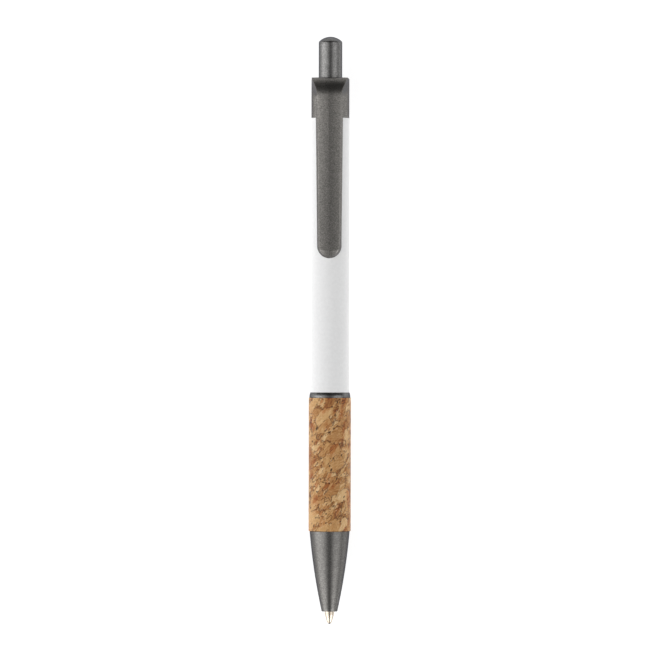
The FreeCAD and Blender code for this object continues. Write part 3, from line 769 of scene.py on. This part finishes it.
class CorkPits:
    """Pits and short cracks scattered over the cork, by their place round it and along it."""

    def __init__(self, radius, length):
        """Draw the pits: each is (round, along, size, stretch, lean)."""
        draw = random.Random(7)
        pit_count, crack_count, crack_step = 230, 34, 0.16
        self.radius = radius
        self.around = 2 * math.pi * radius
        pits = []
        for _ in range(pit_count):
            size = draw.uniform(0.10, 0.26) * (1.5 if draw.random() < 0.12 else 1.0)
            pits.append((draw.uniform(0, self.around), draw.uniform(0.6, length - 0.6), size,
                         draw.uniform(0.5, 2.2), draw.uniform(0.3, 1.3)))
        for _ in range(crack_count):
            here = Vector((draw.uniform(0, self.around), draw.uniform(2, length - 3)))
            lean = draw.gauss(0.85, 0.35)
            for _ in range(draw.randint(4, 16)):
                pits.append((here.x % self.around, here.y, 0.07, 1.0, lean))
                lean += draw.gauss(0, 0.08)
                here += Vector((math.cos(lean), math.sin(lean))) * crack_step
                if not 0.5 < here.y < length - 0.5:
                    break
        self.cells = {}
        for pit in pits:
            self.cells.setdefault((int(pit[0]), int(pit[1])), []).append(pit)

    def near(self, u, v):
        """The pits in the millimetre squares round a place."""
        for du in (-1, 0, 1):
            for dv in (-1, 0, 1):
                yield from self.cells.get((int((u + du) % self.around), int(v) + dv), ())

    def depth(self, angle, along):
        """0 outside the pits, 1 at a pit's deepest point; along is measured from the cork's start."""
        u, deepest = angle * self.radius, 0.0
        for pit_u, pit_v, size, stretch, lean in self.near(u, along):
            x = (u - pit_u + self.around / 2) % self.around - self.around / 2
            y = along - pit_v
            along_pit = x * math.cos(lean) + y * math.sin(lean)
            across_pit = -x * math.sin(lean) + y * math.cos(lean)
            reach = math.hypot(along_pit / stretch, across_pit) / size
            deepest = max(deepest, 1 - reach * reach)
        return deepest


def make_cork():
    """Cork tube whose surface has real pits, short cracks and a faint unevenness."""
    radius, length = radius_of("cork_sleeve"), CORK_END - CORK_START
    pits = CorkPits(radius, length)
    segments, rows = 300, 300
    edge_rounding, row_inset, pit_depth, skin = 0.1, 0.12, 0.05, 0.4

    def pitted(angle, at, along):
        if at < radius - 0.01:
            return at
        point = Vector((math.sin(angle) * radius, along, math.cos(angle) * radius))
        uneven = 0.018 * noise.noise(point * 0.45) + 0.012 * noise.noise(point * 1.7)
        return at - 0.025 + uneven - pit_depth * pits.depth(angle, along - CORK_START)

    start, end = Vector((radius, CORK_START)), Vector((radius, CORK_END))
    inner_start, inner_end = Vector((CORE_BORE, CORK_START)), Vector((CORE_BORE, CORK_END))
    corners = [inner_start] + rounded(inner_start, start, end, edge_rounding)
    for row in range(rows + 1):
        corners.append(Vector((radius, CORK_START + row_inset + (length - 2 * row_inset) * row / rows)))
    corners += rounded(start, end, inner_end, edge_rounding) + [inner_end]
    piece = turned("cork", corners, segments, 60.0, pitted)
    # each point's depth in a pit, which the cork material turns into dark pore colour and painted shade
    pit_value = piece.data.attributes.new("pit", "FLOAT", "POINT")
    for vertex in piece.data.vertices:
        across, height = vertex.co.x, vertex.co.z - AXIS_HEIGHT
        if math.hypot(across, height) > (radius - skin) * MM:
            angle = math.atan2(across, height) % (2 * math.pi)
            depth = pits.depth(angle, (vertex.co.y - PEN_START) / MM - CORK_START)
            pit_value.data[vertex.index].value = min(1.0, 1.3 * depth)
    finish_piece(piece, CORK, "cork", "cork_sleeve")
    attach(piece, "barrel")


def dress_hidden_parts():
    """The working parts inside keep their CAD shapes and get real materials."""
    looks = {
        "grip_core": WHITE_PLASTIC, "cam_sleeve": WHITE_PLASTIC, "thrust_tube": WHITE_PLASTIC,
        "rotor": DARK_PLASTIC, "tip_holder": DARK_PLASTIC, "refill_tube": CLEAR_PLASTIC, "ink_column": INK,
    }
    for node, material in looks.items():
        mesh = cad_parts[node].data
        mesh.materials.clear()
        mesh.materials.append(material)


# ---------------------------------------------------------------- stage

def make_floor():
    bm = bmesh.new()
    bmesh.ops.create_grid(bm, x_segments=4, y_segments=4, size=1.5)     # metres
    mesh = bpy.data.meshes.new("floor")
    bm.to_mesh(mesh)
    bm.free()
    floor = bpy.data.objects.new("floor", mesh)
    floor.location.z = -0.02 * MM
    bpy.context.scene.collection.objects.link(floor)
    mesh.materials.append(pale_floor())


def make_light():
    """Two long strip softboxes beside the pen and a weak fill light beyond its point, as one world light.

    Each lamp's brightness is the product of two curves. One goes by how far a direction leans from
    straight up, towards the pen's left (negative degrees) or right. The other goes by how far it leans
    towards the button (up to 1) or the point (down to -1).
    """
    strips = [(-180, 0.45), (-98, 0.80), (-82, 1.04), (-66, 1.06), (-52, 0.88), (-38, 0.80), (-28, 0.62),
              (-20, 0.40), (-10, 0.17), (-2, 0.08), (8, 0.06), (14, 0.15), (24, 0.44), (36, 0.62),
              (48, 0.68), (60, 0.60), (72, 0.38), (84, 0.16), (92, 0.10), (180, 0.30)]
    strip_fade = [(-0.97, 0.1), (-0.86, 0.3), (-0.7, 0.62), (-0.3, 0.64), (-0.1, 0.88), (0.02, 1.0),
                  (0.1, 0.74), (0.22, 0.28), (0.4, 0.03)]
    fill = [(-90, 0.2), (-70, 0.6), (-45, 0.6), (-25, 0.0), (28, 0.0), (45, 0.9), (78, 0.9), (92, 0.1)]
    fill_fade = [(-0.97, 0.0), (-0.88, 0.2), (-0.78, 1.0), (-0.56, 1.1), (-0.36, 0.0)]

    world = bpy.data.worlds.new("studio")
    bpy.context.scene.world = world
    world.use_nodes = True
    n = Nodes(world.node_tree)
    split = n.add("ShaderNodeSeparateXYZ")
    n.link(n.add("ShaderNodeTexCoord").outputs["Generated"], split.inputs[0])
    turn = n.math("ARCTAN2", split.outputs["X"], split.outputs["Z"])
    turn_share = n.math("ADD", n.math("MULTIPLY", turn, 0.5 / math.pi), 0.5)
    along_share = n.math("ADD", n.math("MULTIPLY", split.outputs["Y"], 0.5), 0.5)

    def lamp(turn_stops, along_stops):
        across = n.ramp(turn_share, [((degrees + 180) / 360, value) for degrees, value in turn_stops])
        along = n.ramp(along_share, [((lean + 1) / 2, value) for lean, value in along_stops])
        return n.mix(1.0, across, along, "MULTIPLY")

    background = world.node_tree.nodes["Background"]
    n.link(n.mix(1.0, lamp(strips, strip_fade), lamp(fill, fill_fade), "ADD"), background.inputs["Color"])
    background.inputs["Strength"].default_value = 2.9


def make_camera():
    """Straight down on the pen from 1.5 m, about two degrees round towards its right side."""
    distance, roll, lean = 1.5, math.radians(2.2), math.radians(0.11)
    aim = 0.1       # how far towards the button the camera's aim is from the pen's middle
    camera = bpy.data.objects.new("camera", bpy.data.cameras.new("camera"))
    bpy.context.scene.collection.objects.link(camera)
    camera.data.lens = 341.3
    camera.data.sensor_width = 36.0
    camera.data.clip_end = 10.0
    middle = Vector((0, (cad_box[0].y + cad_box[1].y) / 2 + aim * MM, AXIS_HEIGHT))
    turn = Quaternion((0, 1, 0), roll) @ Quaternion((0, 0, 1), lean)
    camera.rotation_mode = "QUATERNION"
    camera.rotation_quaternion = turn
    camera.location = middle + turn @ Vector((0, 0, distance))
    bpy.context.scene.camera = camera


make_camera()
make_floor()
make_light()
make_push_button()
make_cap()
make_clip()
make_barrel()
make_trim_ring()
make_cork()
make_nose_cone()
make_writing_tip()
make_ball()
make_spring()
dress_hidden_parts()
bpy.context.scene.view_settings.view_transform = "Standard"
